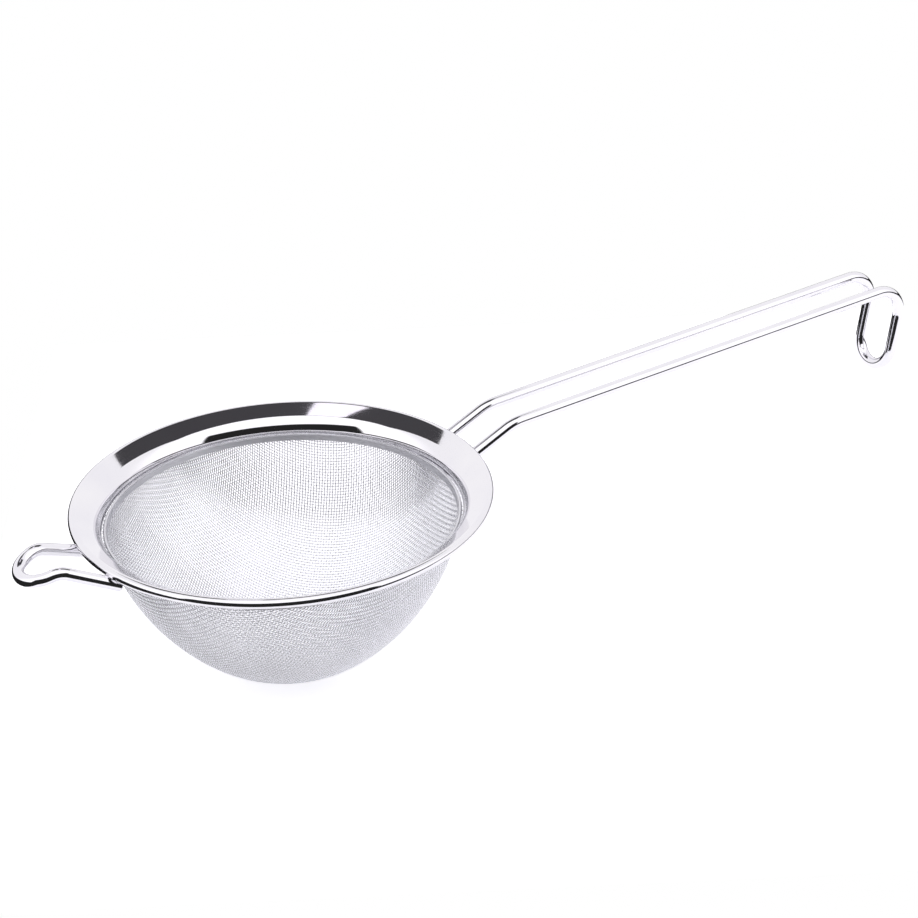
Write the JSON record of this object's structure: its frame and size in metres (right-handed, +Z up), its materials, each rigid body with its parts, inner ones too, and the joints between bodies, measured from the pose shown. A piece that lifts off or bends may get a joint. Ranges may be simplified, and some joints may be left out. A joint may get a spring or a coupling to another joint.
{
  "type": "tea strainer",
  "caption": "Hand-held tea strainer: flared polished rim, round wire mesh bowl, bent wire handle ending in a hanging hook, and a short wire rest loop.",
  "frame": {"origin": "middle of the bowl's mouth, in the plane of the rim's highest points", "axes": "+X along the handle away from the bowl, -X towards the rest loop, +Z up out of the mouth"},
  "size_m": [0.2513, 0.1, 0.0543],
  "materials": {
    "rim_steel": "mirror polished stainless steel",
    "ring_steel": "matte rolled stainless steel with a bright upper edge",
    "wire_cloth": "plain weave of bright stainless wire",
    "wire_steel": "mirror polished stainless wire",
    "weld_steel": "small electropolished spot weld"
  },
  "bodies": {
    "root": {"rim_collar": "rim_steel", "clamp_ring": "ring_steel", "mesh_bowl": "wire_cloth", "handle_wire": "wire_steel", "rest_loop": "wire_steel", "handle_weld_left": "weld_steel", "handle_weld_right": "weld_steel", "rest_loop_weld_left": "weld_steel", "rest_loop_weld_right": "weld_steel"}
  },
  "joints": []
}
